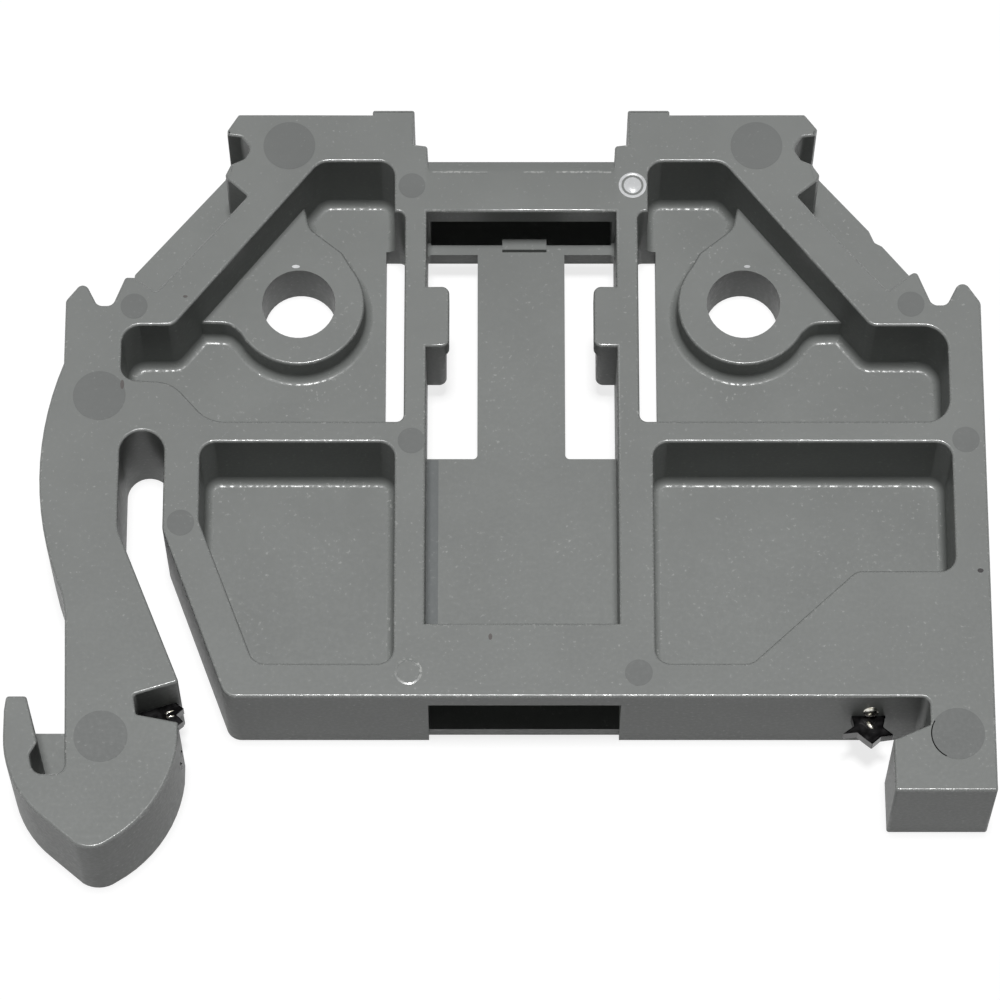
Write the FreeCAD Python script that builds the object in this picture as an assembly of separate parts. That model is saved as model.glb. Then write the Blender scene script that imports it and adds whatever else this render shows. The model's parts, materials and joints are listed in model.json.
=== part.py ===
import FreeCAD, Part
import math
import os

# End stop for a 35 mm mounting rail, in millimetres.
# The outline is laid out on the rail: x = 0 is the line between the two rail
# flanges, y = 0 is the face that sits on the rail and y grows away from it.
# z = 0 is the back face, z = THICKNESS the open front face.  At the end every
# node is moved so that the origin is the middle of the underside's box.

THICKNESS = 6.0
FLOOR = 1.4
SKIN = 1.13
BACK_PLATE = 0.85
LEDGE_TOP = 2.0
TONGUE_LOW = 1.65
TONGUE_HIGH = 2.4

LEFT_REACH = 23.0
RIGHT_REACH = 21.0
TOP_REACH = 28.8
TIP_REACH = 7.0

TAB_TOP = 28.58
BAR_TOP = 26.33
BAR_BOTTOM = 23.64
BAR_SLOPE_BACK = 0.7
BAR_SLOPE_DROP = 0.4
POCKET_TOP = 26.17
BASE_TOP = 3.5
RIB_TOP = 13.23
RIB_BOTTOM = 12.2

WINDOW_HALF = 4.35
CHANNEL_HALF = 4.2
UPRIGHT_HALF = 5.35
SLOT_HALF = 6.3
SLOT_ROUND = 0.35
TONGUE_HALF = 2.02
TONGUE_FOOT = 12.81
TONGUE_TOP = 23.05
CORNER_RADIUS = 0.2
PAD_HALF = 4.3
UNDERCUT_TOP = 25.6
GAP_LEFT = -4.2
GAP_RIGHT = 4.42
GAP_TOP = 2.9
PLATE_FOOT = 0.25

LATCH_LEFT = -0.87
LATCH_RIGHT = 1.18
LATCH_BOTTOM = 23.19
LATCH_TOP = 23.72
LATCH_RISE = 0.3

EAR_HALF = 3.3
EAR_BACK_HALF = 3.45
EAR_BOTTOM = 16.9
EAR_TOP = 19.9
EAR_ROUND = 0.35

BOSS_X = 10.3
BOSS_Y = 20.3
BOSS_RADIUS = 3.05
BOSS_TOP = 3.0
HOLE_RADIUS = 1.7

FLOOR_FILLET = 0.42

NOTCH_LEFT = -17.25
NOTCH_RIGHT = 18.1
WEB_TOP = -0.15
WEB_BOTTOM = -3.6
WEB_LEFT = -22.1
WEB_RIGHT = -20.1

PLATE_LOW = 2.6
PLATE_HIGH = 3.4
BITE_LEFT = 14.95
BITE_RIGHT = 16.15
BITE_ROOT_TOP = 2.2
JAW_LEFT = -18.4
JAW_SIDE = -15.5
JAW_TIP = -15.17

# How far a cutter runs past a face, and how far joined pieces reach into each other.
OVERRUN = 1.0
OVERLAP = 0.1


def corner(before, here, after, radius):
    """Return the two tangent points and the middle of a rounded corner."""
    ax, ay = before[0] - here[0], before[1] - here[1]
    bx, by = after[0] - here[0], after[1] - here[1]
    la, lb = math.hypot(ax, ay), math.hypot(bx, by)
    ax, ay, bx, by = ax / la, ay / la, bx / lb, by / lb
    half = math.acos(max(-1.0, min(1.0, ax * bx + ay * by))) / 2
    reach = min(radius / math.tan(half), 0.48 * la, 0.48 * lb)
    radius = reach * math.tan(half)
    mx, my = ax + bx, ay + by
    lm = math.hypot(mx, my)
    depth = radius / math.sin(half) - radius
    start = FreeCAD.Vector(here[0] + ax * reach, here[1] + ay * reach, 0)
    middle = FreeCAD.Vector(here[0] + mx / lm * depth, here[1] + my / lm * depth, 0)
    end = FreeCAD.Vector(here[0] + bx * reach, here[1] + by * reach, 0)
    return start, middle, end


def face(points):
    """Close a flat outline; (x, y, r) rounds a corner, ("via", x, y) bends an edge."""
    plain = [p for p in points if p[0] != "via"]
    bends = {}
    count = -1
    for p in points:
        if p[0] == "via":
            bends[count] = FreeCAD.Vector(p[1], p[2], 0)
        else:
            count += 1
    total = len(plain)
    stops = []
    for i, p in enumerate(plain):
        if len(p) == 3 and p[2] > 0:
            stops.append(corner(plain[i - 1], p, plain[(i + 1) % total], p[2]))
        else:
            here = FreeCAD.Vector(p[0], p[1], 0)
            stops.append((here, None, here))
    edges = []
    for i in range(total):
        start, middle, end = stops[i]
        if middle is not None:
            edges.append(Part.Arc(start, middle, end).toShape())
        following = stops[(i + 1) % total][0]
        if i in bends:
            edges.append(Part.Arc(end, bends[i], following).toShape())
        elif end.distanceToPoint(following) > 1e-6:
            edges.append(Part.LineSegment(end, following).toShape())
    return Part.Face(Part.Wire(edges))


def prism(points, low, high):
    """Extrude an outline between two heights."""
    solid = face(points).extrude(FreeCAD.Vector(0, 0, high - low))
    solid.translate(FreeCAD.Vector(0, 0, low))
    return solid


def block(x0, x1, y0, y1, z0, z1):
    """Make a box from its six limits."""
    return Part.makeBox(x1 - x0, y1 - y0, z1 - z0, FreeCAD.Vector(x0, y0, z0))


def drum(x, y, radius, z0, z1):
    """Make an upright cylinder."""
    return Part.makeCylinder(radius, z1 - z0, FreeCAD.Vector(x, y, z0))


def mirrored(points):
    """Mirror an outline about the rail's middle line."""
    return [("via", -p[1], p[2]) if p[0] == "via" else (-p[0],) + tuple(p[1:])
            for p in points]


def soft_floor(cutter, level, radius):
    """Round the edges of a pocket cutter that lie on the pocket's floor."""
    edges = [e for e in cutter.Edges
             if all(abs(v.Z - level) < 1e-6 for v in e.Vertexes)]
    return cutter.makeFillet(radius, edges)


# Outline, counter-clockwise.
BASE = [(-13.2, 0.0, 0.7), (NOTCH_RIGHT, 0.0, 0.35), (NOTCH_RIGHT, -1.26, 0.12),
        (16.44, -1.98, 0.12), (16.46, -4.38, 0.12), (RIGHT_REACH, -4.38, 0.12)]
HORN_RIGHT = [(RIGHT_REACH, 19.1, 0.35), (20.15, 20.38, 0.35), (19.45, 18.98, 0.38),
              (18.78, 18.98, 0.38), (18.1, 20.68, 0.2)]
LEDGE_RIGHT_FRONT = [(17.7, 20.43), (16.78, 19.66, 0.15), (13.66, 23.25),
                     (12.72, 24.45, 0.08), (13.62, 25.18, 0.1), (13.78, 25.5, 0.15)]
LEDGE_RIGHT_BACK = [(18.08, 22.18, 0.1), (16.86, 23.66, 0.15), (16.52, 23.84, 0.2),
                    (16.27, 24.43, 0.2), (14.0, 27.05, 0.1)]
GROOVE_RIGHT = [(13.42, 26.05, 0.08), (12.9, 26.3, 0.3), (12.6, 26.88, 0.35),
                (12.98, 27.42, 0.3), (13.6, 27.48, 0.05)]
TAB_CORNER_RIGHT = [(13.72, 27.82, 0.1), (13.14, TAB_TOP, 0.15)]
PAD_RIGHT = [(6.88, TAB_TOP), (6.88, TOP_REACH, 0.1), (4.94, TOP_REACH, 0.1),
             (4.98, 27.06, 0.1), (PAD_HALF + 0.04, 26.98, 0.15), (PAD_HALF, BAR_TOP)]
TAB_CORNER_LEFT = [(-13.1, TAB_TOP, 0.15), (-13.6, 27.78, 0.1)]
GROOVE_LEFT = [(-13.6, 27.5, 0.05), (-12.93, 27.42, 0.3), (-12.5, 26.88, 0.35),
               (-12.78, 26.35, 0.3), (-13.42, 26.03, 0.08)]
LEDGE_LEFT_FRONT = [(-13.66, 25.5, 0.15), (-13.54, 25.27, 0.1), (-12.62, 24.45, 0.08),
                    (-13.56, 23.28), (-16.72, 19.62, 0.15), (-17.7, 20.35)]
LEDGE_LEFT_BACK = [(-13.88, 27.05, 0.1), (-18.0, 22.2, 0.1)]
HORN_LEFT = [(-18.14, 20.36, 0.18), (-18.7, 18.95, 0.38), (-19.38, 18.95, 0.38),
             (-20.02, 20.22, 0.3), (-20.83, 19.2, 0.3)]
ARM_OUTER = [(-20.83, 16.1), ("via", -21.78, 10.8), (-20.6, 4.9), (-20.43, 3.9),
             (-20.27, -1.8)]
CLAW = [(-20.2, -3.58, 0.5), (-21.62, -3.55, 0.55), (-21.8, -2.7, 0.3),
        (-21.46, -2.1, 0.3), (-22.02, 0.07, 0.15), (-22.92, 0.07, 0.15),
        (-LEFT_REACH, -0.6), (-LEFT_REACH, -1.8), ("via", -22.56, -3.8),
        (-21.2, -5.55), (-19.72, -6.8), ("via", -19.0, -TIP_REACH),
        (-18.22, -6.74), ("via", -16.1, -4.66), (-15.25, -2.1), (-15.25, -1.15, 0.12),
        (-17.13, -0.78, 0.12), (NOTCH_LEFT, 0.1, 0.12), (-15.26, 0.72, 0.14)]
ARM_INNER = [(-18.19, 8.05, 2.0), (-18.19, 11.75), ("via", -17.18, 12.76),
             (-16.17, 11.75), (-16.17, 8.0, 0.8)]

TAIL = ARM_OUTER + CLAW + ARM_INNER
LEFT_TAB = mirrored(PAD_RIGHT)[::-1]
TOP = TAB_CORNER_RIGHT + PAD_RIGHT + LEFT_TAB + TAB_CORNER_LEFT
BACK_OUTLINE = BASE + HORN_RIGHT + LEDGE_RIGHT_BACK + TOP + LEDGE_LEFT_BACK + HORN_LEFT + TAIL
FRONT_OUTLINE = (BASE + HORN_RIGHT + LEDGE_RIGHT_FRONT + GROOVE_RIGHT + TOP
                 + GROOVE_LEFT + LEDGE_LEFT_FRONT + HORN_LEFT + TAIL)

# Pockets, open to the front.
UPPER_LEFT = [(-5.85, RIB_TOP), (-5.85, POCKET_TOP, 0.7), (-9.3, POCKET_TOP, 0.9),
              (-15.9, 17.95, 0.6), (-18.22, 17.95, 0.85), (-18.22, 15.3, 0.7),
              (-15.9, 15.15, 1.6), (-14.2, RIB_TOP, 1.6)]
UPPER_RIGHT = [(5.85, RIB_TOP), (19.42, RIB_TOP, 1.1), (19.42, 17.92, 1.1),
               (15.95, 17.92, 0.6), (9.32, POCKET_TOP, 0.9), (5.85, POCKET_TOP, 0.7)]
LOWER_LEFT = [(-5.75, 1.6, 0.7), (-5.75, RIB_BOTTOM, 0.7), (-14.55, RIB_BOTTOM, 0.7),
              (-14.53, 8.4, 0.8), (-11.95, 1.6, 0.75)]
LOWER_RIGHT = [(5.95, 1.6, 0.7), (10.25, 1.6, 0.7), (15.0, 6.0, 0.7),
               (19.45, 6.0, 0.7), (19.45, RIB_BOTTOM, 0.7), (5.95, RIB_BOTTOM, 0.7)]
BOSS_NECK_RIGHT = [(7.75, 21.9), (11.9, 17.75), (13.45, 19.3, 0.9), (16.4, 19.4),
                   (10.4, 26.6), (9.85, 24.15, 0.9), (8.3, 22.9)]
BOSS_NECK_LEFT = mirrored(BOSS_NECK_RIGHT)


def boss(neck, x):
    """Make the teardrop that carries a fixing hole, without the hole."""
    ring = drum(x, BOSS_Y, BOSS_RADIUS, FLOOR, BOSS_TOP)
    return ring.fuse(prism(neck, FLOOR, BOSS_TOP)).removeSplitter()


def plate_right():
    """Make the toothed steel plate held in the base beside the right foot."""
    teeth = [(BITE_LEFT - 0.17, 0.02), (BITE_LEFT - 0.05, -0.45), (14.38, -0.83),
             (15.03, -0.76), (15.3, -1.0), (15.69, -1.31), (16.1, -0.96),
             (16.67, -0.88), (BITE_RIGHT + 0.05, -0.5), (BITE_RIGHT + 0.16, 0.02)]
    root = block(BITE_LEFT, BITE_RIGHT, 0, BITE_ROOT_TOP, PLATE_LOW, PLATE_HIGH)
    return prism(teeth, PLATE_LOW, PLATE_HIGH).fuse(root).removeSplitter()


def plate_left():
    """Make the toothed steel jaw held in the left foot around the rail notch."""
    jaw = [(JAW_LEFT, -2.75), (JAW_SIDE, -2.75), (JAW_SIDE, -2.45), (JAW_TIP, -2.22),
           (JAW_SIDE, -1.95), (JAW_TIP, -1.65), (JAW_SIDE, -1.35), (-17.3, -1.3, 0.2),
           (-17.3, -0.45, 0.2), (JAW_SIDE, -0.5), (JAW_TIP, -0.22), (JAW_SIDE, 0.07),
           (JAW_TIP, 0.38), (JAW_SIDE, 0.62), (-15.7, 1.0), (JAW_LEFT, 1.0)]
    return prism(jaw, PLATE_LOW, PLATE_HIGH)


def body(plates):
    """Make the one moulding with its pockets, channel, ears, bosses and feet."""
    solid = prism(BACK_OUTLINE, 0, LEDGE_TOP)
    solid = solid.fuse(prism(FRONT_OUTLINE, LEDGE_TOP, THICKNESS)).removeSplitter()

    for outline, neck, x in ((UPPER_LEFT, BOSS_NECK_LEFT, -BOSS_X),
                             (UPPER_RIGHT, BOSS_NECK_RIGHT, BOSS_X)):
        cutter = prism(outline, FLOOR, THICKNESS + OVERRUN).cut(boss(neck, x))
        solid = solid.cut(soft_floor(cutter, FLOOR, FLOOR_FILLET))
        solid = solid.cut(drum(x, BOSS_Y, HOLE_RADIUS, -OVERRUN, BOSS_TOP + OVERRUN))
    for outline in (LOWER_LEFT, LOWER_RIGHT):
        cutter = prism(outline, FLOOR, THICKNESS + OVERRUN)
        solid = solid.cut(soft_floor(cutter, FLOOR, FLOOR_FILLET))

    front = THICKNESS - SKIN
    half = CHANNEL_HALF
    cuts = [
        block(-WINDOW_HALF, WINDOW_HALF, BASE_TOP, BAR_BOTTOM, TONGUE_HIGH,
              THICKNESS + OVERRUN),
        block(-WINDOW_HALF, WINDOW_HALF, BASE_TOP, BAR_BOTTOM, -OVERRUN, TONGUE_LOW),
        block(-half, half, BAR_BOTTOM - OVERLAP, UNDERCUT_TOP, BACK_PLATE, front),
        block(GAP_LEFT, GAP_RIGHT, -OVERRUN, GAP_TOP, BACK_PLATE, front),
        block(GAP_LEFT, GAP_RIGHT, -OVERRUN, PLATE_FOOT, -OVERRUN, BACK_PLATE),
    ]
    beside_tongue = [(TONGUE_HALF, TONGUE_FOOT, CORNER_RADIUS), (WINDOW_HALF, TONGUE_FOOT),
                     (WINDOW_HALF, TONGUE_TOP, CORNER_RADIUS), (TONGUE_HALF, TONGUE_TOP)]
    slot = [(UPRIGHT_HALF, RIB_TOP, SLOT_ROUND), (SLOT_HALF, RIB_TOP),
            (SLOT_HALF, BAR_BOTTOM), (UPRIGHT_HALF, BAR_BOTTOM, SLOT_ROUND)]
    for outline in (beside_tongue, mirrored(beside_tongue)):
        cuts.append(prism(outline, TONGUE_LOW - OVERLAP, TONGUE_HIGH + OVERLAP))
    for outline in (slot, mirrored(slot)):
        cuts.append(prism(outline, -OVERRUN, THICKNESS + OVERRUN))
    for tool in cuts:
        solid = solid.cut(tool)

    edge_y = BAR_TOP - BAR_SLOPE_BACK
    slope = [FreeCAD.Vector(-PAD_HALF, edge_y, THICKNESS),
             FreeCAD.Vector(-PAD_HALF, BAR_TOP, THICKNESS),
             FreeCAD.Vector(-PAD_HALF, BAR_TOP, THICKNESS - BAR_SLOPE_DROP)]
    wedge = Part.Face(Part.makePolygon(slope + slope[:1]))
    solid = solid.cut(wedge.extrude(FreeCAD.Vector(2 * PAD_HALF, 0, 0)))

    reach = WINDOW_HALF + OVERLAP
    lip = [(EAR_HALF, EAR_BOTTOM, EAR_ROUND), (reach, EAR_BOTTOM), (reach, EAR_TOP),
           (EAR_HALF, EAR_TOP, EAR_ROUND)]
    shank = [(EAR_BACK_HALF, EAR_BOTTOM, EAR_ROUND), (reach, EAR_BOTTOM), (reach, EAR_TOP),
             (EAR_BACK_HALF, EAR_TOP, EAR_ROUND)]
    for outline, low, high in ((lip, front, THICKNESS), (shank, FLOOR, front)):
        solid = solid.fuse(prism(outline, low, high))
        solid = solid.fuse(prism(mirrored(outline), low, high))
    solid = solid.fuse(block(LATCH_LEFT, LATCH_RIGHT, LATCH_BOTTOM, LATCH_TOP,
                             TONGUE_HIGH - OVERLAP, TONGUE_HIGH + LATCH_RISE))
    solid = solid.fuse(block(WEB_LEFT, WEB_RIGHT, WEB_BOTTOM, WEB_TOP, 0, FLOOR))
    for plate in plates:
        solid = solid.cut(plate)
    return solid.removeSplitter()


def settle(solid):
    """Move a node from the rail's origin to the middle of the underside."""
    shift_x = (LEFT_REACH - RIGHT_REACH) / 2
    shift_y = (TIP_REACH - TOP_REACH) / 2
    solid.translate(FreeCAD.Vector(shift_x, shift_y, 0))
    return solid


def single(shape):
    """Return the one solid of a shape."""
    if len(shape.Solids) != 1:
        raise ValueError("expected one solid, found %d" % len(shape.Solids))
    return shape.Solids[0]


os.makedirs("parts", exist_ok=True)
right = single(plate_right())
left = single(plate_left())
moulding = single(body((right, left)))
for name, node in (("stop_body", moulding), ("clamp_plate_right", right),
                   ("clamp_plate_left", left)):
    settle(node).exportStep("parts/" + name + ".step")
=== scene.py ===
"""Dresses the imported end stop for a 35 mm mounting rail and sets the studio around it."""

import json
import logging
import math
from dataclasses import dataclass, field
from enum import Enum
from typing import Dict, List, Tuple

import bmesh
import bpy
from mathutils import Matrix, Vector

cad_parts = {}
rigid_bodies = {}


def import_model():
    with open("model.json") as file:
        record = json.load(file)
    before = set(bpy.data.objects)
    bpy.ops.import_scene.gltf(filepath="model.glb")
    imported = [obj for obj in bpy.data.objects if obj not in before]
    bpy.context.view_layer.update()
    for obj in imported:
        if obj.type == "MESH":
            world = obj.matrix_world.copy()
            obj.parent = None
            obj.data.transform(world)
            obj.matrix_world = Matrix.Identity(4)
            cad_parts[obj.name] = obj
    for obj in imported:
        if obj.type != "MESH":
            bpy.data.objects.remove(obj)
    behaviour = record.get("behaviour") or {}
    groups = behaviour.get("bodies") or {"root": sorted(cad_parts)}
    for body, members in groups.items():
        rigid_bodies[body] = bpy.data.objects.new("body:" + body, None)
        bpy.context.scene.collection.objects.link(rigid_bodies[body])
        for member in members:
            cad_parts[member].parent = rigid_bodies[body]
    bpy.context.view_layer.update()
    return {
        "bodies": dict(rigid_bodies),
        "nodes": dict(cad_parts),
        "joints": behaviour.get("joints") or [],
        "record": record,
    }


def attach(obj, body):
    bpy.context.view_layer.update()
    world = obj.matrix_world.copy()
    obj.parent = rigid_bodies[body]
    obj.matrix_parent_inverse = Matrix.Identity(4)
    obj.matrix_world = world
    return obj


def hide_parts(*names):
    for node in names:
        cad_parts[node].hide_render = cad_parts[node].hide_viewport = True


LOG = logging.getLogger("end_stop")
ROOT_BODY = "root"

# MM and MERGE are in metres, SMOOTH_ANGLE in degrees and the other lengths in millimetres.
MM = 0.001
MERGE = 1e-6
RAIL_SHIFT = (1.0, -10.9)
RELIEF = 0.02
FRONT_FACE = 6.0
BOSS_FACE = 3.0
WINDOW_FACE = 2.4
BACK_FACE = 0.0
LEVEL_NORMAL = 0.99
SMOOTH_ANGLE = 60.0

Colour = Tuple[float, float, float, float]
Spot = Tuple[float, float, float, float]
Noise = Tuple[float, float]
Source = float | Colour | bpy.types.NodeSocket

NYLON_GREY: Colour = (0.207, 0.216, 0.209, 1.0)
WHITE: Colour = (1.0, 1.0, 1.0, 1.0)


class Node(Enum):
    """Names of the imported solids."""

    BODY = "stop_body"
    PLATE_RIGHT = "clamp_plate_right"
    PLATE_LEFT = "clamp_plate_left"


class Slot(Enum):
    """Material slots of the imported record."""

    PLASTIC = "body_plastic"
    STEEL = "plate_steel"


class PinSize(Enum):
    """Radius of the two sizes of ejector pin, in millimetres."""

    LARGE = 1.2
    SMALL = 0.62


def deselect_all() -> None:
    """Leave edit mode and deselect every object."""
    if bpy.context.object is not None and bpy.context.object.mode != "OBJECT":
        bpy.ops.object.mode_set(mode="OBJECT")
    bpy.ops.object.select_all(action="DESELECT")


def activate(obj: bpy.types.Object) -> None:
    """Make one object the only selected and active one.

    Args:
        obj: The object.
    """
    deselect_all()
    obj.select_set(True)
    bpy.context.view_layer.objects.active = obj


def settle(obj: bpy.types.Object) -> None:
    """Put an object's place, turn and scale into its mesh."""
    activate(obj)
    bpy.ops.object.transform_apply(location=True, rotation=True, scale=True)


def rail_point(x: float, y: float) -> Tuple[float, float]:
    """Turn a place on the rail's axes, in millimetres, into the frame's metres."""
    return (x + RAIL_SHIFT[0]) * MM, (y + RAIL_SHIFT[1]) * MM


def pick_top(obj: bpy.types.Object) -> None:
    """Select only the upward face of a low piece that is in edit mode.

    Args:
        obj: The piece.
    """
    bpy.ops.mesh.select_mode(type="FACE")
    bpy.ops.mesh.select_all(action="DESELECT")
    shape = bmesh.from_edit_mesh(obj.data)
    for face in shape.faces:
        face.select = face.normal.z > LEVEL_NORMAL
    bmesh.update_edit_mesh(obj.data)


def low_disc(x: float, y: float, face: float, radius: float, sides: int,
             stretch: float = 1.0) -> bpy.types.Object:
    """Model a very low disc on a flat face.

    Args:
        x: Place from the rail's middle, in millimetres.
        y: Height above the rail seat, in millimetres.
        face: Height of the flat face, in millimetres.
        radius: The disc's radius, in millimetres.
        sides: How many sides it has.
        stretch: How much longer it is along y than across.

    Returns:
        The disc's object.
    """
    deselect_all()
    place = (*rail_point(x, y), (face - RELIEF / 2) * MM)
    bpy.ops.mesh.primitive_circle_add(vertices=sides, radius=radius * MM, fill_type="NGON",
                                      location=place)
    disc = bpy.context.object
    disc.scale = (1.0, stretch, 1.0)
    bpy.ops.object.mode_set(mode="EDIT")
    bpy.ops.mesh.extrude_region_move(TRANSFORM_OT_translate={"value": (0, 0, RELIEF * MM)})
    bpy.ops.mesh.select_all(action="SELECT")
    bpy.ops.mesh.normals_make_consistent(inside=False)
    settle(disc)
    return disc


def low_bar(x0: float, x1: float, y0: float, y1: float, face: float) -> bpy.types.Object:
    """Model a very low bar on a flat face.

    Args:
        x0: Left end from the rail's middle, in millimetres.
        x1: Right end, in millimetres.
        y0: Lower side above the rail seat, in millimetres.
        y1: Upper side, in millimetres.
        face: Height of the flat face, in millimetres.

    Returns:
        The bar's object.
    """
    deselect_all()
    place = (*rail_point((x0 + x1) / 2, (y0 + y1) / 2), (face - RELIEF / 2) * MM)
    bpy.ops.mesh.primitive_plane_add(size=MM, location=place)
    bar = bpy.context.object
    bar.scale = (x1 - x0, y1 - y0, 1.0)
    settle(bar)
    bpy.ops.object.mode_set(mode="EDIT")
    bpy.ops.mesh.extrude_region_move(TRANSFORM_OT_translate={"value": (0, 0, RELIEF * MM)})
    bpy.ops.mesh.select_all(action="SELECT")
    bpy.ops.mesh.normals_make_consistent(inside=False)
    bpy.ops.object.mode_set(mode="OBJECT")
    return bar


def finish_small(name: str, piece: bpy.types.Object, finish: bpy.types.Material) -> None:
    """Name a small piece, give it its finish and fix it to the body.

    Args:
        name: The piece's name.
        piece: The piece.
        finish: Its material.
    """
    piece.name = name
    piece.data.materials.append(finish)
    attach(piece, ROOT_BODY)
    LOG.info("added %s", name)


class GroupMaker:
    """Builds a shader node group with named inputs and outputs."""

    def __init__(self, name: str) -> None:
        """Start an empty group.

        Args:
            name: The group's name.
        """
        self.tree = bpy.data.node_groups.new(name, "ShaderNodeTree")
        self.entry = self.tree.nodes.new("NodeGroupInput")
        self.exit = self.tree.nodes.new("NodeGroupOutput")

    def socket_in(self, name: str, kind: str) -> None:
        """Add an input socket, which every material sets or links."""
        self.tree.interface.new_socket(name, in_out="INPUT", socket_type=kind)

    def socket_out(self, name: str, kind: str) -> None:
        """Add an output socket."""
        self.tree.interface.new_socket(name, in_out="OUTPUT", socket_type=kind)

    def given(self, name: str) -> bpy.types.NodeSocket:
        """Return the socket that brings one of the group's inputs."""
        return self.entry.outputs[name]

    def node(self, kind: str, **settings: object) -> bpy.types.Node:
        """Add a node and set its properties.

        Args:
            kind: The node's type.
            settings: Its properties by name.

        Returns:
            The node.
        """
        made = self.tree.nodes.new(kind)
        for key, value in settings.items():
            setattr(made, key, value)
        return made

    def feed(self, end: bpy.types.NodeSocket, value: Source) -> None:
        """Set a node's input, or link a socket to it.

        Args:
            end: The input.
            value: A number or colour to set, or a socket to link.
        """
        if isinstance(value, bpy.types.NodeSocket):
            self.tree.links.new(value, end)
        else:
            end.default_value = value

    def calculate(self, operation: str, *values: Source) -> bpy.types.NodeSocket:
        """Add a math node.

        Args:
            operation: What it works out.
            values: Its inputs in order, each a number or a socket.

        Returns:
            The socket that holds the result.
        """
        made = self.node("ShaderNodeMath", operation=operation)
        for end, value in zip(made.inputs, values):
            self.feed(end, value)
        return made.outputs[0]

    def noise(self, cells: float, detail: float) -> bpy.types.NodeSocket:
        """Add a noise texture on the group's Vector input.

        Args:
            cells: Cells per millimetre.
            detail: Octaves of detail.

        Returns:
            The socket that holds the noise.
        """
        texture = self.node("ShaderNodeTexNoise")
        texture.inputs["Scale"].default_value = cells / MM
        texture.inputs["Detail"].default_value = detail
        self.feed(texture.inputs["Vector"], self.given("Vector"))
        return texture.outputs["Fac"]

    def ramp(self, source: bpy.types.NodeSocket, low: Source,
             high: Source) -> bpy.types.Node:
        """Stretch a value so that low gives 0 and high gives 1, clamped.

        Args:
            source: The value's socket.
            low: The value that gives 0.
            high: The value that gives 1.

        Returns:
            The map range node, whose result may be given other ends.
        """
        made = self.node("ShaderNodeMapRange", clamp=True)
        self.feed(made.inputs["Value"], source)
        self.feed(made.inputs["From Min"], low)
        self.feed(made.inputs["From Max"], high)
        return made


@dataclass(frozen=True)
class FibreSpeckle:
    """The glass fibre pattern that the moulding's finishes share.

    A noise is its cells per millimetre and its octaves of detail. A range holds the values
    of a noise between which its effect fades from none to full.
    """

    drift_noise: Noise = (0.25, 3.0)
    patch_noise: Noise = (0.6, 2.0)
    wave_noise: Noise = (1.3, 1.0)
    grain_noise: Noise = (5.5, 2.0)
    pit_noise: Noise = (13.0, 1.0)
    drift_range: Tuple[float, float] = (0.3, 0.7)
    patch_range: Tuple[float, float] = (0.35, 0.65)
    pit_range: Tuple[float, float] = (0.35, 0.65)
    shine_range: Tuple[float, float] = (0.44, 0.58)
    spot_fade: float = 0.12
    pit_height: float = 0.06
    glass: Colour = (0.55, 0.56, 0.54, 1.0)

    def build(self) -> bpy.types.NodeTree:
        """Build the node group.

        Returns:
            A group that turns a vector and a base colour into a speckled colour, a height
            and a roughness.
        """
        maker = GroupMaker("glass_fibre_speckle")
        maker.socket_in("Vector", "NodeSocketVector")
        maker.socket_in("Base", "NodeSocketColor")
        for name in ("Speckle", "Drift", "Dull", "Shiny", "Rarity"):
            maker.socket_in(name, "NodeSocketFloat")
        maker.socket_out("Color", "NodeSocketColor")
        maker.socket_out("Height", "NodeSocketFloat")
        maker.socket_out("Roughness", "NodeSocketFloat")
        grain = maker.noise(*self.grain_noise)
        maker.feed(maker.exit.inputs["Color"],
                   self.speckle(maker, grain, self.mottle(maker)))
        pits = maker.ramp(maker.noise(*self.pit_noise), *self.pit_range)
        waves = maker.noise(*self.wave_noise)
        height = maker.calculate("MULTIPLY_ADD", pits.outputs["Result"], self.pit_height,
                                 waves)
        maker.feed(maker.exit.inputs["Height"], height)
        rough = maker.ramp(grain, *self.shine_range)
        maker.feed(rough.inputs["To Min"], maker.given("Dull"))
        maker.feed(rough.inputs["To Max"], maker.given("Shiny"))
        maker.feed(maker.exit.inputs["Roughness"], rough.outputs["Result"])
        return maker.tree

    def mottle(self, maker: GroupMaker) -> bpy.types.NodeSocket:
        """Let the base colour drift slowly lighter and darker.

        Args:
            maker: The group that takes the nodes.

        Returns:
            The socket that holds the drifted colour.
        """
        drift = maker.ramp(maker.noise(*self.drift_noise), *self.drift_range)
        centred = maker.calculate("SUBTRACT", drift.outputs["Result"], 0.5)
        mottled = maker.node("ShaderNodeHueSaturation")
        maker.feed(mottled.inputs["Color"], maker.given("Base"))
        maker.feed(mottled.inputs["Value"],
                   maker.calculate("MULTIPLY_ADD", centred, maker.given("Drift"), 1.0))
        return mottled.outputs["Color"]

    def speckle(self, maker: GroupMaker, grain: bpy.types.NodeSocket,
                mottled: bpy.types.NodeSocket) -> bpy.types.NodeSocket:
        """Mix pale fibre spots, which come in patches, into a colour.

        Args:
            maker: The group that takes the nodes.
            grain: The noise whose peaks are spots.
            mottled: The colour between the spots.

        Returns:
            The socket that holds the speckled colour.
        """
        full = maker.calculate("ADD", maker.given("Rarity"), self.spot_fade)
        spots = maker.ramp(grain, maker.given("Rarity"), full)
        patch = maker.ramp(maker.noise(*self.patch_noise), *self.patch_range)
        spread = maker.calculate("MULTIPLY", spots.outputs["Result"],
                                 patch.outputs["Result"])
        speckled = maker.node("ShaderNodeMix", data_type="RGBA")
        maker.feed(speckled.inputs["Factor"],
                   maker.calculate("MULTIPLY", spread, maker.given("Speckle")))
        maker.feed(speckled.inputs["A"], mottled)
        maker.feed(speckled.inputs["B"], self.glass)
        return speckled.outputs["Result"]


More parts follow.
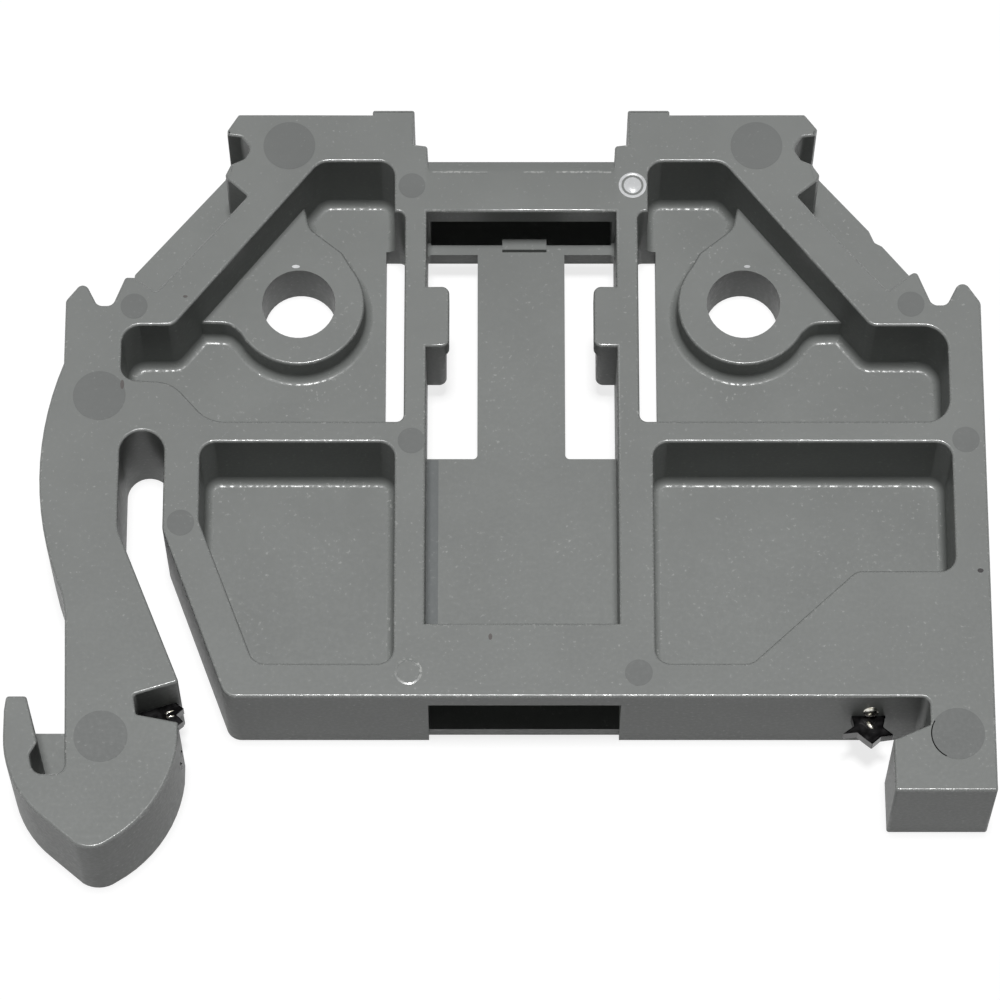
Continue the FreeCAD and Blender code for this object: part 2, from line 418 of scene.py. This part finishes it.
def new_material(name: str) -> Tuple[bpy.types.Material, bpy.types.Node]:
    """Make a node material.

    Args:
        name: The material's name.

    Returns:
        The material and its Principled shader.
    """
    material = bpy.data.materials.new(name)
    material.use_nodes = True
    return material, material.node_tree.nodes["Principled BSDF"]


@dataclass(frozen=True)
class FibreNylon:
    """Glass-filled moulding plastic in one shade, with its relief's depth in millimetres."""

    name: str
    base: Colour
    speckle: float = 0.3
    drift: float = 0.1
    bump: float = 0.35
    gloss: float = 0.33
    dull: float = 0.52
    shiny: float = 0.44
    rarity: float = 0.64
    relief_depth: float = 0.02

    def make(self, fibre: bpy.types.NodeTree) -> bpy.types.Material:
        """Build the material.

        Args:
            fibre: The shared speckle group.

        Returns:
            The material.
        """
        material, shader = new_material(self.name)
        tree = material.node_tree
        place = tree.nodes.new("ShaderNodeTexCoord")
        group = tree.nodes.new("ShaderNodeGroup")
        group.node_tree = fibre
        values = {"Base": self.base, "Speckle": self.speckle, "Drift": self.drift,
                  "Dull": self.dull, "Shiny": self.shiny, "Rarity": self.rarity}
        for name, value in values.items():
            group.inputs[name].default_value = value
        relief = tree.nodes.new("ShaderNodeBump")
        relief.inputs["Strength"].default_value = self.bump
        relief.inputs["Distance"].default_value = self.relief_depth * MM
        tree.links.new(place.outputs["Object"], group.inputs["Vector"])
        tree.links.new(group.outputs["Color"], shader.inputs["Base Color"])
        tree.links.new(group.outputs["Roughness"], shader.inputs["Roughness"])
        tree.links.new(group.outputs["Height"], relief.inputs["Height"])
        tree.links.new(relief.outputs["Normal"], shader.inputs["Normal"])
        shader.inputs["Specular IOR Level"].default_value = self.gloss
        return material


@dataclass(frozen=True)
class SpringSteel:
    """Spring steel with a fine stain. On the plates its near-black colour is a painted dark
    reflection; on the burrs it is bright metal.
    """

    name: str
    clean: Colour
    stained: Colour
    roughness: float = 0.25
    stain_noise: Noise = (3.0, 3.0)
    stain_range: Tuple[float, float] = (0.4, 0.65)

    def make(self) -> bpy.types.Material:
        """Build the material.

        Returns:
            The material.
        """
        material, shader = new_material(self.name)
        tree = material.node_tree
        place = tree.nodes.new("ShaderNodeTexCoord")
        stain = tree.nodes.new("ShaderNodeTexNoise")
        stain.inputs["Scale"].default_value = self.stain_noise[0] / MM
        stain.inputs["Detail"].default_value = self.stain_noise[1]
        mask = tree.nodes.new("ShaderNodeMapRange")
        mask.inputs["From Min"].default_value = self.stain_range[0]
        mask.inputs["From Max"].default_value = self.stain_range[1]
        tint = tree.nodes.new("ShaderNodeMix")
        tint.data_type = "RGBA"
        tint.inputs["A"].default_value = self.stained
        tint.inputs["B"].default_value = self.clean
        tree.links.new(place.outputs["Object"], stain.inputs["Vector"])
        tree.links.new(stain.outputs["Fac"], mask.inputs["Value"])
        tree.links.new(mask.outputs["Result"], tint.inputs["Factor"])
        tree.links.new(tint.outputs["Result"], shader.inputs["Base Color"])
        shader.inputs["Metallic"].default_value = 1.0
        shader.inputs["Roughness"].default_value = self.roughness
        return material


@dataclass(frozen=True)
class EdgeSoftener:
    """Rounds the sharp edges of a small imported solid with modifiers.

    The width is in millimetres and the angle in degrees.
    """

    width: float = 0.05
    segments: int = 2
    sharp_angle: float = 35.0

    def apply_to(self, obj: bpy.types.Object) -> None:
        """Add the weld and bevel modifiers.

        Args:
            obj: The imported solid's object.
        """
        weld = obj.modifiers.new("join_facets", "WELD")
        weld.merge_threshold = MERGE
        bevel = obj.modifiers.new("soft_edges", "BEVEL")
        bevel.width = self.width * MM
        bevel.segments = self.segments
        bevel.limit_method = "ANGLE"
        bevel.angle_limit = math.radians(self.sharp_angle)
        bevel.miter_outer = "MITER_ARC"


@dataclass(frozen=True)
class Level:
    """A flat level of the moulding whose outer edges are rounded."""

    height: float
    faces_up: bool
    radius: float
    slack: float = 0.01

    def holds(self, face: bmesh.types.BMFace) -> bool:
        """Tell whether a face lies on this level.

        Args:
            face: The face, in the frame's metres.

        Returns:
            True where it does.
        """
        middle = face.calc_center_median().z / MM
        side = 1 if self.faces_up else -1
        return abs(middle - self.height) < self.slack and face.normal.z * side > LEVEL_NORMAL


@dataclass
class Moulding:
    """The one-piece body with its rounded edges and its ejector pin marks.

    The splits are places on the frame's axes where the body is cut, so that no flat face has
    a hole. Holes and marks are placed on the rail's axes. Lengths are in millimetres and
    limits in degrees. The slopes are the upward parts of a fillet's normals.
    """

    levels: Tuple[Level, ...] = (Level(FRONT_FACE, True, 0.12), Level(BOSS_FACE, True, 0.12),
                                 Level(BACK_FACE, False, 0.06))
    splits_x: Tuple[float, ...] = (-10.0, 1.0, 12.0)
    splits_y: Tuple[float, ...] = (-0.9, 10.1, 15.8)
    flat_limit: float = 0.6
    sharp_limit: float = 40.0
    round_segments: int = 3
    flat_weight: int = 100
    hole: Tuple[float, float] = (10.3, 20.3)
    hole_radius: float = 1.7
    hole_slack: float = 0.02
    fillet_top: float = 2.9
    fillet_slopes: Tuple[float, float] = (0.999, 0.85)
    edge_index: int = 1
    sheen_index: int = 2
    nylon: FibreNylon = FibreNylon("fibre_nylon", NYLON_GREY, speckle=0.4)
    edge: FibreNylon = FibreNylon("polished_edge", NYLON_GREY, speckle=0.5, bump=0.6, gloss=0.65,
                                  dull=0.3, shiny=0.16, rarity=0.56)
    sheen: FibreNylon = FibreNylon("fillet_sheen", NYLON_GREY, speckle=0.6, bump=0.5, gloss=0.4,
                                   dull=0.5, shiny=0.24, rarity=0.58)
    witness: FibreNylon = FibreNylon("pin_witness", (0.157, 0.164, 0.160, 1.0), speckle=0.2)
    mark_sides: int = 40
    marks: List[Tuple[float, float, PinSize]] = field(default_factory=lambda: [
        (-10.72, 26.98, PinSize.LARGE), (10.88, 26.98, PinSize.LARGE),
        (-19.17, 14.48, PinSize.LARGE), (-18.67, -1.83, PinSize.LARGE),
        (19.3, -1.71, PinSize.LARGE), (-17.7, 18.9, PinSize.SMALL),
        (17.8, 19.0, PinSize.SMALL), (-5.04, 24.95, PinSize.SMALL),
        (-15.35, 8.3, PinSize.SMALL), (-4.99, 12.28, PinSize.SMALL),
        (5.2, 1.15, PinSize.SMALL), (20.1, 12.33, PinSize.SMALL)])

    def build(self, frame: Dict[str, object], fibre: bpy.types.NodeTree) -> None:
        """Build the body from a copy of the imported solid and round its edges.

        Args:
            fibre: The shared speckle group.
        """
        mesh = frame["nodes"][Node.BODY.value].data.copy()
        body = bpy.data.objects.new("moulded_body", mesh)
        bpy.context.collection.objects.link(body)
        activate(body)
        bpy.ops.mesh.customdata_custom_splitnormals_clear()
        mesh.materials.clear()
        mesh.materials.append(self.nylon.make(fibre))
        mesh.materials.append(self.edge.make(fibre))
        mesh.materials.append(self.sheen.make(fibre))
        self.simplify()
        for level in self.levels:
            self.round_level(body, level)
        self.polish_fillets(body)
        bpy.ops.object.mode_set(mode="OBJECT")
        bpy.ops.object.shade_smooth_by_angle(angle=math.radians(self.sharp_limit))
        flat = body.modifiers.new("flat_faces", "WEIGHTED_NORMAL")
        flat.weight = self.flat_weight
        flat.keep_sharp = True
        bpy.ops.object.modifier_apply(modifier=flat.name)
        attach(body, ROOT_BODY)
        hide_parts(Node.BODY.value)
        LOG.info("built %s", body.name)

    def simplify(self) -> None:
        """Join the facets and melt them into flat faces that have no holes."""
        bpy.ops.object.mode_set(mode="EDIT")
        bpy.ops.mesh.select_mode(type="EDGE")
        bpy.ops.mesh.select_all(action="SELECT")
        bpy.ops.mesh.remove_doubles(threshold=MERGE)
        cuts = [((x, 0.0, 0.0), (1.0, 0.0, 0.0)) for x in self.splits_x]
        cuts += [((0.0, y, 0.0), (0.0, 1.0, 0.0)) for y in self.splits_y]
        for place, normal in cuts:
            bpy.ops.mesh.select_all(action="SELECT")
            bpy.ops.mesh.bisect(plane_co=[c * MM for c in place], plane_no=normal,
                                threshold=MERGE / 10)
            bpy.ops.mesh.mark_seam()
        bpy.ops.mesh.select_all(action="SELECT")
        bpy.ops.mesh.dissolve_limited(angle_limit=math.radians(self.flat_limit),
                                      delimit={"SEAM"})

    def round_level(self, body: bpy.types.Object, level: Level) -> None:
        """Round the convex edges round one flat level.

        Args:
            body: The body, in edit mode.
            level: The level and its edge radius.
        """
        bpy.ops.mesh.select_all(action="DESELECT")
        shape = bmesh.from_edit_mesh(body.data)
        for edge in shape.edges:
            if len(edge.link_faces) == 2:
                bend = edge.calc_face_angle_signed(0.0)
                edge.select = (bend > math.radians(self.sharp_limit)
                               and any(level.holds(face) for face in edge.link_faces)
                               and not self.on_hole_rim(edge))
        bmesh.update_edit_mesh(body.data)
        bpy.ops.mesh.bevel(offset=level.radius * MM, segments=self.round_segments,
                           affect="EDGES", clamp_overlap=False, loop_slide=False,
                           material=self.edge_index)

    def on_hole_rim(self, edge: bmesh.types.BMEdge) -> bool:
        """Tell whether an edge lies on the sharp rim of a boss's through hole.

        Args:
            edge: The edge, in the frame's metres.

        Returns:
            True where it does.
        """
        middle = (edge.verts[0].co + edge.verts[1].co) / 2
        for side in (-1, 1):
            centre = Vector((*rail_point(side * self.hole[0], self.hole[1]), middle.z))
            if abs((middle - centre).length / MM - self.hole_radius) < self.hole_slack:
                return True
        return False

    def polish_fillets(self, body: bpy.types.Object) -> None:
        """Give the feet of the fillets round the pocket floors their own sheen.

        Args:
            body: The body, in edit mode.
        """
        flat, steep = self.fillet_slopes
        shape = bmesh.from_edit_mesh(body.data)
        for face in shape.faces:
            height = face.calc_center_median().z / MM
            if height < self.fillet_top and steep < face.normal.z < flat:
                face.material_index = self.sheen_index
        bmesh.update_edit_mesh(body.data)

    def add_marks(self, fibre: bpy.types.NodeTree) -> None:
        """Add the faint round marks that the ejector pins leave on the front.

        Args:
            fibre: The shared speckle group.
        """
        finish = self.witness.make(fibre)
        for number, (x, y, size) in enumerate(self.marks, start=1):
            mark = low_disc(x, y, FRONT_FACE, size.value, self.mark_sides)
            finish_small("pin_mark_%02d" % number, mark, finish)


@dataclass
class ScarsAndPaintedLight:
    """Pieces besides the pin marks: gate, rim, arc, crests, margin and spots. The gate and nicks
    carry painted highlights, the rim and crests painted glint dots, the arc and margin painted
    shade.

    Places are on the rail's axes. Lengths are in millimetres and angles in degrees. A gate
    inset is its width and its rise, and the groove is where the gate is shaded, as distances
    from its middle. The shade is the margin's left, right, lower and upper side. A spot is
    its place, its radius and how much longer it is along y than across.
    """

    gate: Tuple[float, float] = (5.13, 24.97)
    gate_radius: float = 0.64
    gate_sides: int = 36
    gate_insets: Tuple[Tuple[float, float], ...] = (
        (0.1, 0.012), (0.04, -0.03), (0.08, 0.0), (0.04, 0.02), (0.12, 0.02), (0.12, 0.02))
    groove: Tuple[float, float] = (0.42, 0.5)
    groove_index: int = 1
    rim: Tuple[float, float] = (-5.06, 1.2)
    rim_radius: float = 0.62
    rim_width: float = 0.09
    rim_sides: int = 40
    rim_rise: float = 0.012
    rim_drop: float = 0.03
    arc: Tuple[float, float] = (19.3, -1.71)
    arc_radius: float = 1.17
    arc_start: float = 150.0
    arc_sweep: float = 92.0
    arc_width: float = 0.05
    arc_stub: float = 0.04
    arc_steps: int = 14
    arc_facing: float = 0.9
    crest_y: float = 25.63
    crest_width: float = 0.1
    crests: Tuple[Tuple[float, float], ...] = ((-4.1, -1.5), (0.1, 1.1), (1.6, 4.15))
    shade: Tuple[float, float, float, float] = (-4.33, -3.8, 3.55, 12.75)
    spot_lift: float = 0.006
    spot_sides: int = 9
    faint_specks: Tuple[Spot, ...] = (
        (-1.41, 2.85, 0.09, 1.7), (-18.14, 15.02, 0.09, 2.6), (-15.37, 19.38, 0.11, 0.55))
    dark_specks: Tuple[Spot, ...] = ((20.55, 6.0, 0.14, 0.75),)
    glint_nicks: Tuple[Spot, ...] = ((-10.46, 22.19, 0.19, 0.45), (10.5, 22.19, 0.15, 0.5))
    # Painted highlight: the near-white colour of the gate mark and of the nicks stands in for
    # the glints they catch.
    bright: FibreNylon = FibreNylon("painted_glint", (0.66, 0.67, 0.68, 1.0), speckle=0.6, drift=0.5,
                                    bump=0.6, gloss=0.8, dull=0.3, shiny=0.1)
    # Painted highlight: dense pale spots on the pin rim and on the crest lines stand in for
    # their dotted glints.
    glint_dotted: FibreNylon = FibreNylon("painted_glint_dots", (0.215, 0.225, 0.218, 1.0), speckle=1.0,
                                     drift=0.2, bump=0.6, gloss=0.6, dull=0.3, shiny=0.14,
                                     rarity=0.44)
    # Painted shade: this darker grey colours the gate's groove and the window plate's margin,
    # where it stands in for the left upright's shadow.
    shadow: FibreNylon = FibreNylon("painted_shade", (0.140, 0.150, 0.151, 1.0), speckle=0.2)
    # Painted shade: the dark colour of the pressed arc stands in for the shade in the groove
    # that the pin pressed.
    pressed: FibreNylon = FibreNylon("pressed_line_shade", (0.062, 0.046, 0.044, 1.0), speckle=0.0)
    faint: FibreNylon = FibreNylon("faint_speck", (0.098, 0.088, 0.084, 1.0), speckle=0.0)
    dark: FibreNylon = FibreNylon("dark_speck", (0.018, 0.016, 0.017, 1.0), speckle=0.0)

    def build(self, fibre: bpy.types.NodeTree) -> None:
        """Add every scar, painted highlight and painted shade.

        Args:
            fibre: The shared speckle group.
        """
        bright = self.bright.make(fibre)
        shadow = self.shadow.make(fibre)
        glint_dotted = self.glint_dotted.make(fibre)
        gate = self.make_gate()
        finish_small("gate_mark", gate, bright)
        gate.data.materials.append(shadow)
        finish_small("pin_rim", self.make_rim(), glint_dotted)
        finish_small("pressed_arc_shade", self.make_arc(), self.pressed.make(fibre))
        # The crest lines are low bars whose pale spots paint dotted highlights along the top
        # bar's crease.
        for number, (start, end) in enumerate(self.crests, start=1):
            crest = low_bar(start, end, self.crest_y - self.crest_width / 2,
                            self.crest_y + self.crest_width / 2, FRONT_FACE)
            finish_small("crest_line_%d" % number, crest, glint_dotted)
        # A low dark strip along the window plate's left side: a painted shadow of the left
        # upright.
        finish_small("margin_shadow", low_bar(*self.shade, WINDOW_FACE), shadow)
        self.add_spots("faint_speck", self.faint_specks, FRONT_FACE, self.faint.make(fibre))
        self.add_spots("dark_speck", self.dark_specks, FRONT_FACE, self.dark.make(fibre))
        # The nicks are near-white spots on the boss faces by the holes: painted highlights.
        self.add_spots("glint_nick", self.glint_nicks, BOSS_FACE, bright)

    def add_spots(self, name: str, spots: Tuple[Spot, ...], face: float,
                  finish: bpy.types.Material) -> None:
        """Add small oval spots that stand just above the pin marks.

        Args:
            name: What the spots are called.
            spots: Place, radius and stretch of each, in millimetres.
            face: Height of the flat face that they lie on, in millimetres.
            finish: Their material.
        """
        for number, (x, y, radius, stretch) in enumerate(spots, start=1):
            spot = low_disc(x, y, face + self.spot_lift, radius, self.spot_sides, stretch)
            finish_small("%s_%d" % (name, number), spot, finish)

    def make_gate(self) -> bpy.types.Object:
        """Model the sheared gate: a rim, a groove inside it and a crowned middle, coloured with
        a painted highlight and with painted shade in the groove.

        Returns:
            The gate mark's object.
        """
        mark = low_disc(*self.gate, FRONT_FACE, self.gate_radius, self.gate_sides)
        activate(mark)
        bpy.ops.object.mode_set(mode="EDIT")
        pick_top(mark)
        for width, rise in self.gate_insets:
            bpy.ops.mesh.inset(thickness=width * MM, depth=rise * MM)
        middle = Vector((*rail_point(*self.gate), 0.0))
        shape = bmesh.from_edit_mesh(mark.data)
        for face in shape.faces:
            reach = (face.calc_center_median() - middle).to_2d().length / MM
            if self.groove[0] < reach < self.groove[1]:
                face.material_index = self.groove_index
        bmesh.update_edit_mesh(mark.data)
        bpy.ops.object.mode_set(mode="OBJECT")
        bpy.ops.object.shade_smooth_by_angle(angle=math.radians(SMOOTH_ANGLE))
        return mark

    def make_rim(self) -> bpy.types.Object:
        """Model the raised ring round one pin mark, dotted with painted glints.

        Returns:
            The ring's object.
        """
        ring = low_disc(*self.rim, FRONT_FACE, self.rim_radius, self.rim_sides)
        activate(ring)
        bpy.ops.object.mode_set(mode="EDIT")
        pick_top(ring)
        bpy.ops.mesh.inset(thickness=self.rim_width * MM, depth=self.rim_rise * MM)
        bpy.ops.mesh.inset(thickness=self.rim_width / 2 * MM, depth=-self.rim_drop * MM)
        bpy.ops.object.mode_set(mode="OBJECT")
        return ring

    def make_arc(self) -> bpy.types.Object:
        """Model a low dark bar on the arc that one large pin pressed into the foot; its dark
        colour is painted shade of the pressed groove.

        Returns:
            The arc's object.
        """
        centre_x, centre_y = rail_point(*self.arc)
        start = math.radians(self.arc_start)
        bar = low_bar(self.arc[0] + self.arc_radius - self.arc_width / 2,
                      self.arc[0] + self.arc_radius + self.arc_width / 2,
                      self.arc[1] - self.arc_stub / 2, self.arc[1] + self.arc_stub / 2,
                      FRONT_FACE)
        activate(bar)
        bpy.ops.object.mode_set(mode="EDIT")
        bpy.ops.mesh.select_mode(type="FACE")
        bpy.ops.mesh.select_all(action="SELECT")
        bpy.ops.transform.rotate(value=-start, orient_axis="Z",
                                 center_override=(centre_x, centre_y, 0.0))
        bpy.ops.mesh.select_all(action="DESELECT")
        shape = bmesh.from_edit_mesh(bar.data)
        ahead = Vector((-math.sin(start), math.cos(start), 0.0))
        for face in shape.faces:
            face.select = face.normal.dot(ahead) > self.arc_facing
        bmesh.update_edit_mesh(bar.data)
        bpy.ops.mesh.spin(steps=self.arc_steps, angle=-math.radians(self.arc_sweep),
                          center=(centre_x, centre_y, 0.0), axis=(0, 0, 1))
        bpy.ops.mesh.select_all(action="SELECT")
        bpy.ops.mesh.remove_doubles(threshold=MERGE)
        bpy.ops.mesh.normals_make_consistent(inside=False)
        bpy.ops.object.mode_set(mode="OBJECT")
        return bar


@dataclass(frozen=True)
class Burr:
    """A smooth ridge of bright metal: its middle on the rail's axes, half sizes and turn.

    Lengths are in millimetres and the turn in degrees. The depth sets where the ball is cut,
    as a share of its lower half.
    """

    middle: Tuple[float, float, float]
    half: Tuple[float, float, float]
    turn: float = 0.0
    depth: float = 0.8
    segments: int = 24
    rings: int = 12

    def build(self) -> bpy.types.Object:
        """Shape the burr from a ball that is squeezed, turned and cut below.

        The cut keeps Blender's own slack of 0.1 mm, which is about as large as a burr. So it
        takes off at most the lowest point, and its fill leaves turned faces and, in the
        smaller burrs, spare ones. They differ from run to run.

        Returns:
            The burr's object.
        """
        deselect_all()
        x, y = rail_point(*self.middle[:2])
        place = Vector((x, y, self.middle[2] * MM))
        bpy.ops.mesh.primitive_uv_sphere_add(segments=self.segments, ring_count=self.rings,
                                             radius=MM, location=place)
        burr = bpy.context.object
        burr.scale = self.half
        burr.rotation_euler = (0.0, 0.0, math.radians(self.turn))
        settle(burr)
        bpy.ops.object.mode_set(mode="EDIT")
        bpy.ops.mesh.select_all(action="SELECT")
        low = place - Vector((0.0, 0.0, self.half[2] * self.depth * MM))
        bpy.ops.mesh.bisect(plane_co=low, plane_no=(0, 0, 1), use_fill=True,
                            clear_inner=True)
        bpy.ops.object.mode_set(mode="OBJECT")
        bpy.ops.object.shade_smooth_by_angle(angle=math.radians(SMOOTH_ANGLE))
        return burr


@dataclass
class ClampPlates:
    """The two small toothed steel plates that bite on the rail."""

    # Painted reflection: the plates' near-black colour stands in for the dark surroundings their
    # faces reflect.
    steel: SpringSteel = SpringSteel("dark_reflection_steel", (0.014, 0.0136, 0.0142, 1.0),
                                     (0.004, 0.0039, 0.0041, 1.0))
    bright: SpringSteel = SpringSteel("bright_steel", (0.8, 0.79, 0.74, 1.0),
                                      (0.5, 0.48, 0.4, 1.0), 0.2)
    burrs: Tuple[Burr, ...] = (
        Burr((15.62, 0.0, 4.0), (0.36, 0.14, 0.6)),
        Burr((15.6, -0.42, 3.4), (0.1, 0.22, 0.08), 35.0),
        Burr((-15.8, 0.2, 3.4), (0.24, 0.05, 0.07), 20.0),
        Burr((-15.75, -0.03, 3.4), (0.2, 0.06, 0.07), 15.0))

    def dress(self, frame: Dict[str, object]) -> None:
        """Give both packed plates their steel, their worn edges and their burrs.
        """
        # The plates' near-black steel is a painted dark reflection.
        finish = self.steel.make()
        for node in (Node.PLATE_RIGHT, Node.PLATE_LEFT):
            plate = frame["nodes"][node.value]
            plate.data.materials.clear()
            plate.data.materials.append(finish)
            EdgeSoftener().apply_to(plate)
            LOG.info("dressed %s", plate.name)
        shiny = self.bright.make()
        for number, burr in enumerate(self.burrs, start=1):
            finish_small("plate_burr_%d" % number, burr.build(), shiny)


@dataclass
class Studio:
    """White table, overhead lamp, world and camera.

    The table's half side, its drop, the lamp's place and the clip ends are in metres, the
    camera's distance, aim, lens and sensor in millimetres, and the angles in degrees.
    """

    table_half: float = 0.6
    table_drop: float = 1e-5
    table_colour: Colour = (0.28, 0.28, 0.28, 1.0)
    table_glow: float = 0.79
    table_roughness: float = 0.9
    table_gloss: float = 0.1
    lamp_place: Tuple[float, float, float] = (0.0, 0.05, 0.5)
    lamp_strength: float = 2.5
    lamp_angle: float = 9.0
    lamp_tilt: float = 0.5
    fill_strength: float = 0.015
    tilt: float = 21.3
    distance: float = 238.7
    lens: float = 190.8
    sensor: float = 36.0
    aim: Tuple[float, float, float] = (0.02, -1.51, 6.0)
    clip: Tuple[float, float] = (0.01, 10.0)

    def build(self) -> None:
        """Build the whole studio."""
        self.add_table()
        self.add_lamp()
        self.set_world()
        self.add_camera()
        bpy.context.scene.view_settings.view_transform = "Standard"
        LOG.info("built the studio")

    def add_table(self) -> None:
        """Add the pale table just under the part."""
        deselect_all()
        bpy.ops.mesh.primitive_plane_add(size=2 * self.table_half,
                                         location=(0, 0, -self.table_drop))
        table = bpy.context.object
        table.name = "table"
        settle(table)
        material, shader = new_material("table_white")
        shader.inputs["Base Color"].default_value = self.table_colour
        shader.inputs["Roughness"].default_value = self.table_roughness
        shader.inputs["Specular IOR Level"].default_value = self.table_gloss
        shader.inputs["Emission Color"].default_value = WHITE
        tree = material.node_tree
        tree.links.new(self.shown_rays(tree, 0.0, self.table_glow),
                       shader.inputs["Emission Strength"])
        table.data.materials.append(material)

    def shown_rays(self, tree: bpy.types.NodeTree, low: float,
                   high: float) -> bpy.types.NodeSocket:
        """Add nodes that tell the rays that show a thing from those that light by it.

        Args:
            tree: The material's or world's node tree.
            low: The value for lighting rays.
            high: The value for camera, glossy and transmission rays.

        Returns:
            The socket that holds the value.
        """
        path = tree.nodes.new("ShaderNodeLightPath")
        seen = tree.nodes.new("ShaderNodeMath")
        seen.operation = "MAXIMUM"
        shown = tree.nodes.new("ShaderNodeMath")
        shown.operation = "MAXIMUM"
        strength = tree.nodes.new("ShaderNodeMapRange")
        strength.inputs["To Min"].default_value = low
        strength.inputs["To Max"].default_value = high
        tree.links.new(path.outputs["Is Camera Ray"], seen.inputs[0])
        tree.links.new(path.outputs["Is Glossy Ray"], seen.inputs[1])
        tree.links.new(seen.outputs[0], shown.inputs[0])
        tree.links.new(path.outputs["Is Transmission Ray"], shown.inputs[1])
        tree.links.new(shown.outputs[0], strength.inputs["Value"])
        return strength.outputs["Result"]

    def add_lamp(self) -> None:
        """Add the overhead lamp, which shines a little from the far side."""
        deselect_all()
        bpy.ops.object.light_add(type="SUN", location=self.lamp_place)
        lamp = bpy.context.object
        lamp.name = "overhead_lamp"
        lamp.data.energy = self.lamp_strength
        lamp.data.angle = math.radians(self.lamp_angle)
        lamp.rotation_euler = (math.radians(-self.lamp_tilt), 0, 0)

    def set_world(self) -> None:
        """Show the world as white and let it light the part only weakly."""
        world = bpy.data.worlds.new("studio_world")
        bpy.context.scene.world = world
        world.use_nodes = True
        tree = world.node_tree
        back = tree.nodes["Background"]
        tree.links.new(self.shown_rays(tree, self.fill_strength, 1.0), back.inputs["Strength"])
        back.inputs["Color"].default_value = WHITE

    def add_camera(self) -> None:
        """Add the camera at the photograph's angle and distance."""
        lean = math.radians(self.tilt)
        offset = Vector((0, -math.sin(lean), math.cos(lean))) * self.distance
        deselect_all()
        bpy.ops.object.camera_add(location=(Vector(self.aim) + offset) * MM,
                                  rotation=(lean, 0, 0))
        camera = bpy.context.object
        camera.name = "photo_camera"
        camera.data.sensor_width = self.sensor
        camera.data.lens = self.lens
        camera.data.clip_start, camera.data.clip_end = self.clip
        bpy.context.scene.camera = camera


def main() -> None:
    """Load the frame, dress it, add the small pieces and the studio."""
    logging.basicConfig(level=logging.INFO, format="%(name)s: %(message)s")
    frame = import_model()
    fibre = FibreSpeckle().build()
    moulding = Moulding()
    moulding.build(frame, fibre)
    moulding.add_marks(fibre)
    ScarsAndPaintedLight().build(fibre)
    ClampPlates().dress(frame)
    Studio().build()


if __name__ == "__main__":
    main()
